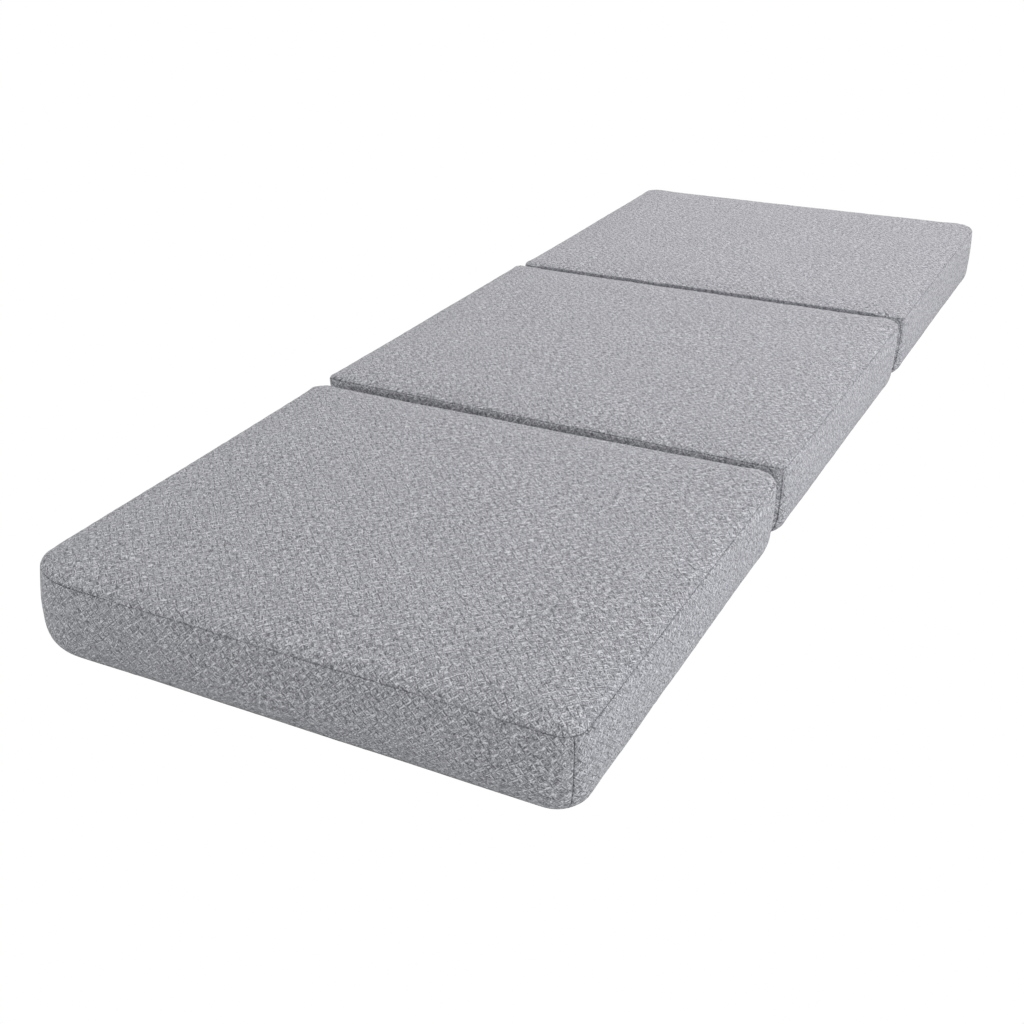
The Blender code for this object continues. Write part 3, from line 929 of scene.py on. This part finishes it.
def makeLiner(section, core):
    # a thin knitted sock round the foam, open behind the zip
    liner = copyOf(core, section + "InnerLiner")
    tags = [item.value for item in liner.data.attributes["coverPart"].data]
    setPoints(liner, points(liner) - normals(liner) * linerSettings["inset"])
    openMesh(liner, "FACE")
    pick(liner, "faces", lambda face: partNames[tags[face.index]] == "opening")
    bpy.ops.mesh.delete(type="FACE")
    closeMesh()
    # its opening is wider than the cover's, so that its edge doesn't show beside the tape
    places, border = points(liner), borderOf(liner)
    zipLow, zipHigh = coverSettings["zipOpening"]
    away = places[border, 2] - (zipLow + zipHigh) / 2
    onEdge = np.abs(away) > (zipHigh - zipLow) / 4
    places[border, 2] += np.where(onEdge, linerSettings["behindZip"] * np.sign(away), 0)
    setPoints(liner, places)
    width = linerSettings["flatWidth"]
    size = (width, pieceArea(liner) / width)
    applyModifier(liner, "SOLIDIFY", thickness=linerSettings["thickness"], offset=-1)
    liner.data.shade_smooth()
    finishPiece(liner, linerKnit, section + "_section", section + "_inner_liner")


def makeFoams(section, core):
    # the two layers of the foam core, cut from the cover's own form
    block = copyOf(core, section + "Block")
    setPoints(block, points(block) - normals(block) * foamSettings["inset"])
    layers = (("comfort_foam", 1, comfortFoam), ("support_foam", -1, supportFoam))
    for node, sign, material in layers:
        foam = copyOf(block, camelName(section, node))
        openMesh(foam)
        pickAll()
        bpy.ops.mesh.bisect(
            plane_co=(0, 0, foamSettings["split"] + sign * foamSettings["gap"] / 2),
            plane_no=(0, 0, sign), use_fill=True, clear_inner=True,
        )
        turnFacesOut()
        closeMesh()
        foam.data.shade_smooth()
        finishPiece(foam, material, section + "_section", f"{section}_{node}")
    bpy.data.objects.remove(block)


for section in sections:
    core = makeCover(section)
    makeLiner(section, core)
    makeFoams(section, core)
    bpy.data.objects.remove(core)
    print(section, "cover, liner and foam made")


# the zips, on the left side of each section
zipSettings = {
    "x": -0.350,             # the side that it is sewn into
    "z": 0.058,
    "halfLength": 0.2427,
    "pitch": 0.0015,         # from tooth to tooth, as on a fine coil
    "coilFrom": 0.0004,      # from the middle of the zip
    "coilTo": 0.0027,
    "coilFront": 0.0001,     # behind the side's plane
    "coilDepth": 0.0020,
    "toothWidth": 0.62,      # of the pitch
    "toothHead": (0.8, 0.7, 1),
    "toothBevel": 0.00022,
    "cordRadius": 0.00042,
    "cordShort": 0.0005,     # how much sooner than the coil it ends
    "cordDrop": 0.0006,      # from the coil's outer edge
    # the tape's cut, as how far out from the middle and how far behind the side's plane
    "tapeCut": (
        (0.0008, 0.0022), (0.0032, 0.0022), (0.0062, 0.0023), (0.0082, 0.0026), (0.0105, 0.0029),
    ),
    "tapeWave": 0.00015,
    "tapeWaveRate": 60,
    "tapeFlatWidth": 0.0100,
    "tapeThickness": 0.0006,
    "tapeHalfLength": 0.2462,
    "sliderFromMiddle": -0.2315,
}


def addBlock(name, low, high):
    # a box from its lowest to its highest corner, to be shaped further
    low, high = Vector(low), Vector(high)
    bpy.ops.mesh.primitive_cube_add(size=1, location=(low + high) / 2, scale=high - low)
    block = bpy.context.object
    block.name = block.data.name = name
    settle(block)
    return block


def joinPieces(name, *pieces):
    pickOnly(*pieces)
    if len(pieces) > 1:
        bpy.ops.object.join()
    made = bpy.context.object
    made.name = made.data.name = name
    return made


def roundEdges(piece, width):
    applyModifier(
        piece, "BEVEL", width=width, segments=2, limit_method="ANGLE",
        angle_limit=math.radians(40),
    )


def mirrorZip(piece):
    # turns an upper row into a lower one, about the middle line of the zip
    places = points(piece)
    places[:, 2] = 2 * zipSettings["z"] - places[:, 2]
    setPoints(piece, places)
    openMesh(piece)
    pickAll()
    bpy.ops.mesh.flip_normals()
    closeMesh()


def makeZipTape(name, middle):
    # a woven strip: flat beside the teeth, then dipping behind the folded edge of the cover
    x, z, half = zipSettings["x"], zipSettings["z"], zipSettings["tapeHalfLength"]
    cut = np.array(zipSettings["tapeCut"])
    bpy.ops.mesh.primitive_grid_add(x_subdivisions=len(cut) - 1, y_subdivisions=96, size=1)
    tape = bpy.context.object
    tape.name = tape.data.name = name
    places = points(tape)
    row = np.rint((places[:, 0] + 0.5) * (len(cut) - 1)).astype(int)
    run = places[:, 1] * 2 * half
    reach = np.concatenate([[0], np.cumsum(np.linalg.norm(np.diff(cut, axis=0), axis=1))])
    rate, height = zipSettings["tapeWaveRate"], zipSettings["tapeWave"]
    wave = np.array([height * noise.noise(Vector((y * rate, 3.1, 0))) for y in run + middle])
    back = cut[row, 1] + wave * (row < 3)     # the part under the cover lies still
    setPoints(tape, np.column_stack([x + back, run + middle, z + cut[row, 0]]))
    layFlat(tape, np.column_stack([run, reach[row]])[loopVertices(tape)])
    applyModifier(tape, "SOLIDIFY", thickness=zipSettings["tapeThickness"], offset=-1)
    tape.data.shade_smooth()
    return tape


def makeZipCoil(name, middle):
    # one tooth, repeated along the zip, on the cord that the coil is sewn down over
    x, z, half, pitch = (zipSettings[key] for key in ("x", "z", "halfLength", "pitch"))
    front, depth = x + zipSettings["coilFront"], zipSettings["coilDepth"]
    low, high = z + zipSettings["coilFrom"], z + zipSettings["coilTo"]
    start, width = middle - half, zipSettings["toothWidth"] * pitch
    tooth = addBlock(name, (front, start, low), (front + depth, start + width, high))
    openMesh(tooth)
    # the legs of the tooth are thinner than its head
    pick(tooth, "verts", lambda vertex: vertex.co.z > (low + high) / 2)
    bpy.ops.transform.resize(
        value=zipSettings["toothHead"], center_override=(front, start + width / 2, high),
    )
    pickAll()
    bpy.ops.mesh.bevel(offset=zipSettings["toothBevel"], segments=1)
    closeMesh()
    applyModifier(
        tooth, "ARRAY", count=int(2 * half / pitch), use_relative_offset=False,
        use_constant_offset=True, constant_offset_displace=(0, pitch, 0),
    )
    bpy.ops.mesh.primitive_cylinder_add(
        vertices=10, radius=zipSettings["cordRadius"], depth=2 * (half - zipSettings["cordShort"]),
        location=(front + depth * 0.62, middle, high - zipSettings["cordDrop"]),
        rotation=(math.radians(90), 0, 0),
    )
    cord = bpy.context.object
    settle(cord)
    return joinPieces(name, tooth, cord)


sliderSettings = {
    "halfLength": 0.0055,
    "halfWidth": 0.0041,
    "tailShare": 0.72,       # the width of the closed end against the open end's
    "frontPlate": (-0.0012, -0.0002),     # from the side's plane, as the back plate
    "backPlate": (0.0031, 0.0038),
    "plateCorner": 0.0016,
    "overlap": 0.0002,       # of one part of the casting with the next
    "post": (0.0006, 0.0032),             # from the open end
    "postHalf": 0.00025,
    "flangeShare": 0.86,     # of the plate's width
    "flangeThickness": 0.0008,
    "flangeDepth": 0.0011,
    "flangeShort": 0.001,
    "bridgeRadius": 0.0024,
    "bridgeWire": 0.00055,
    "bridgeDepth": 0.0001,   # of its middle, behind the front plate's face
    "bridgeCut": 0.0005,     # where it is cut off, inside the plate
    "bridgeShape": (1, 1.25, 1.9),
    "bevel": 0.00022,
}


def makeZipSlider(name, middle):
    # die-cast body: two plates joined by a post, with flanges over the teeth and a bridge
    x, z = zipSettings["x"], zipSettings["z"]
    y = middle + zipSettings["sliderFromMiddle"]
    length, width = sliderSettings["halfLength"], sliderSettings["halfWidth"]
    overlap, share = sliderSettings["overlap"], sliderSettings["flangeShare"]
    frontPlate, backPlate = sliderSettings["frontPlate"], sliderSettings["backPlate"]
    plates = []
    for start, end in (frontPlate, backPlate):
        plate = addBlock(name, (x + start, y - length, z - width), (x + end, y + length, z + width))
        openMesh(plate)
        pick(plate, "verts", lambda vertex: vertex.co.y > y)
        bpy.ops.transform.resize(
            value=(1, 1, sliderSettings["tailShare"]), center_override=(x, y, z),
        )
        # the four corners, whose edges run through the plate
        bpy.ops.mesh.select_mode(type="EDGE")
        pick(plate, "edges", lambda edge: abs(edge.verts[0].co.x - edge.verts[1].co.x) > overlap)
        bpy.ops.mesh.bevel(offset=sliderSettings["plateCorner"], segments=3)
        closeMesh()
        plates.append(plate)
    front, back = x + frontPlate[1] - overlap, x + backPlate[0] + overlap
    (near, far), half = sliderSettings["post"], sliderSettings["postHalf"]
    post = addBlock(
        name, (front, y - length + near, z - half), (back, y - length + far, z + half),
    )
    flanges = []
    inside, short = width - sliderSettings["flangeThickness"], sliderSettings["flangeShort"]
    for side in (-1, 1):
        edges = sorted((z + side * inside * share, z + side * width * share))
        flanges.append(addBlock(
            name, (front, y - length + short, edges[0]),
            (x + frontPlate[1] + sliderSettings["flangeDepth"], y + length - short, edges[1]),
        ))
    bpy.ops.mesh.primitive_torus_add(
        location=(x + frontPlate[0] + sliderSettings["bridgeDepth"], y, z),
        major_segments=24, minor_segments=10,
        major_radius=sliderSettings["bridgeRadius"], minor_radius=sliderSettings["bridgeWire"],
    )
    bridge = bpy.context.object
    bridge.scale = sliderSettings["bridgeShape"]
    settle(bridge)
    openMesh(bridge)
    pickAll()
    bpy.ops.mesh.bisect(
        plane_co=(x + frontPlate[0] + sliderSettings["bridgeCut"], y, z), plane_no=(-1, 0, 0),
        use_fill=True, clear_inner=True,
    )
    closeMesh()
    slider = joinPieces(name, *plates, post, *flanges, bridge)
    roundEdges(slider, sliderSettings["bevel"])
    slider.data.shade_smooth()
    return slider


pullSettings = {
    "axis": -0.0023,         # from the side's plane to the middle of the eye
    "thickness": 0.0010,
    # the lines across it, from the bridge on: the eye lies after the second, the waist on the
    # fourth and the hole after the fifth
    "alongs": (-0.0006, 0.0008, 0.0038, 0.0050, 0.0185, 0.0222, 0.0240),
    "halfWidths": (0.0035, 0.0017),
    "waist": 0.78,
    "corner": 0.0014,
    "bevel": 0.00018,
    "close": 0.0003,         # nearer than this is the same line
}


def makeZipPull(name, middle):
    # a stamped tab: an eye for the bridge, a waist, and a hole near its end
    x, z = zipSettings["x"] + pullSettings["axis"], zipSettings["z"]
    y = middle + zipSettings["sliderFromMiddle"]
    alongs = pullSettings["alongs"]
    outer, inner = pullSettings["halfWidths"]
    widths, close = (-outer, -inner, inner, outer), pullSettings["close"]
    bpy.ops.mesh.primitive_grid_add(
        x_subdivisions=len(alongs) - 1, y_subdivisions=len(widths) - 1, size=1,
    )
    pull = bpy.context.object
    places = points(pull)
    column = np.rint((places[:, 0] + 0.5) * (len(alongs) - 1)).astype(int)
    row = np.rint((places[:, 1] + 0.5) * (len(widths) - 1)).astype(int)
    setPoints(pull, np.column_stack([
        np.full(len(places), x), y + np.array(alongs)[column], z + np.array(widths)[row],
    ]))
    openMesh(pull)

    def inHole(face):
        centre = face.calc_center_median()
        run = centre.y - y
        inEye = alongs[1] < run < alongs[2]
        return abs(centre.z - z) < inner and (inEye or alongs[4] < run < alongs[5])

    def atWaist(vertex):
        onLine = abs(vertex.co.y - y - alongs[3]) < close
        return onLine and abs(vertex.co.z - z) > inner + close

    pick(pull, "faces", inHole)
    bpy.ops.mesh.delete(type="FACE")
    pick(pull, "verts", atWaist)
    bpy.ops.transform.resize(value=(1, 1, pullSettings["waist"]), center_override=(x, y, z))
    pick(pull, "verts", lambda vertex: vertex.is_boundary and len(vertex.link_faces) == 1)
    bpy.ops.mesh.bevel(offset=pullSettings["corner"], segments=4, affect="VERTICES")
    closeMesh()
    applyModifier(pull, "SOLIDIFY", thickness=pullSettings["thickness"], offset=0)
    openMesh(pull)
    turnFacesOut()
    closeMesh()
    roundEdges(pull, pullSettings["bevel"])
    pull.name = pull.data.name = name
    pull.data.shade_smooth()
    return pull


def makeZip(section):
    low, high = sectionBox(section)
    middle = (low.y + high.y) / 2
    body = section + "_section"
    for half in ("upper", "lower"):
        tape = makeZipTape(camelName(section, "zip_tape_" + half), middle)
        coil = makeZipCoil(camelName(section, "zip_coil_" + half), middle)
        if half == "lower":
            mirrorZip(tape)
            mirrorZip(coil)
        finishPiece(tape, zipTape, body, f"{section}_zip_tape_{half}")
        finishPiece(coil, zipCoil, body, f"{section}_zip_coil_{half}")
    slider = makeZipSlider(camelName(section, "zip_slider"), middle)
    finishPiece(slider, zipMetal, section + "_slider", section + "_zip_slider")
    pull = makeZipPull(camelName(section, "zip_pull"), middle)
    finishPiece(pull, zipMetal, section + "_pull", section + "_zip_pull")


for section in sections:
    makeZip(section)
print("zips made")


# the hinge strips between the sections: the bodies that each joins, its two sewn edges as (y, z) at
# its left end and at its right end, on the seams of the two covers, and how far it sags between
# them; the one on top stands up a little, which is the slack that it has when folded
stripSettings = {
    "head": {
        "bodies": ("middle_section", "head_section"),
        "from": ((0.3108, 0.1104), (0.3092, 0.1104)),
        "to": ((0.3208, 0.1104), (0.3191, 0.1104)),
        "sag": -0.0052,
    },
    "foot": {
        "bodies": ("foot_section", "middle_section"),
        "from": ((-0.3309, 0.0117), (-0.3292, 0.0117)),
        "to": ((-0.2886, 0.0100), (-0.2964, 0.0109)),
        "sag": 0.0076,
    },
}
stripHalf, stripThickness = 0.302, 0.0011
stripRows, stripColumns = 14, 150
stripRipple = {"rate": 22, "sideways": 0.0006, "ofSag": 0.12}


def hang(sag, share):
    # how far the cloth hangs down, at a share of the way across
    return sag * np.sin(np.pi * share) ** 0.8


def makeHingeStrip(name):
    settings = stripSettings[name]
    bpy.ops.mesh.primitive_grid_add(
        x_subdivisions=stripColumns, y_subdivisions=stripRows, size=1,
    )
    strip = bpy.context.object
    strip.name = strip.data.name = name + "HingeStrip"
    places = points(strip)
    share = places[:, 1] + 0.5
    x = places[:, 0] * 2 * stripHalf
    edges = [
        np.array(left) + (x / stripHalf + 1)[:, None] / 2 * (np.array(right) - np.array(left))
        for left, right in (settings["from"], settings["to"])
    ]
    rate = stripRipple["rate"]
    ripple = np.array([noise.noise(Vector((value * rate, name == "head", 0.5))) for value in x])
    made = edges[0] + (edges[1] - edges[0]) * share[:, None]
    made[:, 0] += stripRipple["sideways"] * ripple * np.sin(np.pi * share)
    made[:, 1] -= hang(settings["sag"], share) * (1 + stripRipple["ofSag"] * ripple)
    setPoints(strip, np.column_stack([x, made]))
    (startY, startZ), (endY, endZ) = (np.mean(settings[key], axis=0) for key in ("from", "to"))
    shares = np.linspace(0, 1, stripRows + 1)
    curve = (startY + (endY - startY) * shares, -hang(settings["sag"], shares))
    reach = np.concatenate([[0], np.cumsum(np.hypot(*np.diff(curve)))])
    row = np.rint(share * stripRows).astype(int)
    layFlat(strip, np.column_stack([x, reach[row]])[loopVertices(strip)])
    applyModifier(strip, "SOLIDIFY", thickness=stripThickness, offset=0)
    strip.data.shade_smooth()
    # the darker knit, whose darkness is painted shade for the gap
    strip.data.materials.append(shadedHingeKnit)
    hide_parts(name + "_hinge_strip")
    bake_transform(strip)


for name in stripSettings:
    makeHingeStrip(name)
print("hinge strips made")


# the floor throws light up on the sides
bpy.ops.mesh.primitive_plane_add(size=12, location=(0, 0, -0.001))
floor = bpy.context.object
floor.name = "studioFloor"
floor.visible_camera = False     # the ground of the photo is plain white, with no shadow
floor.data.materials.append(floorPaint)
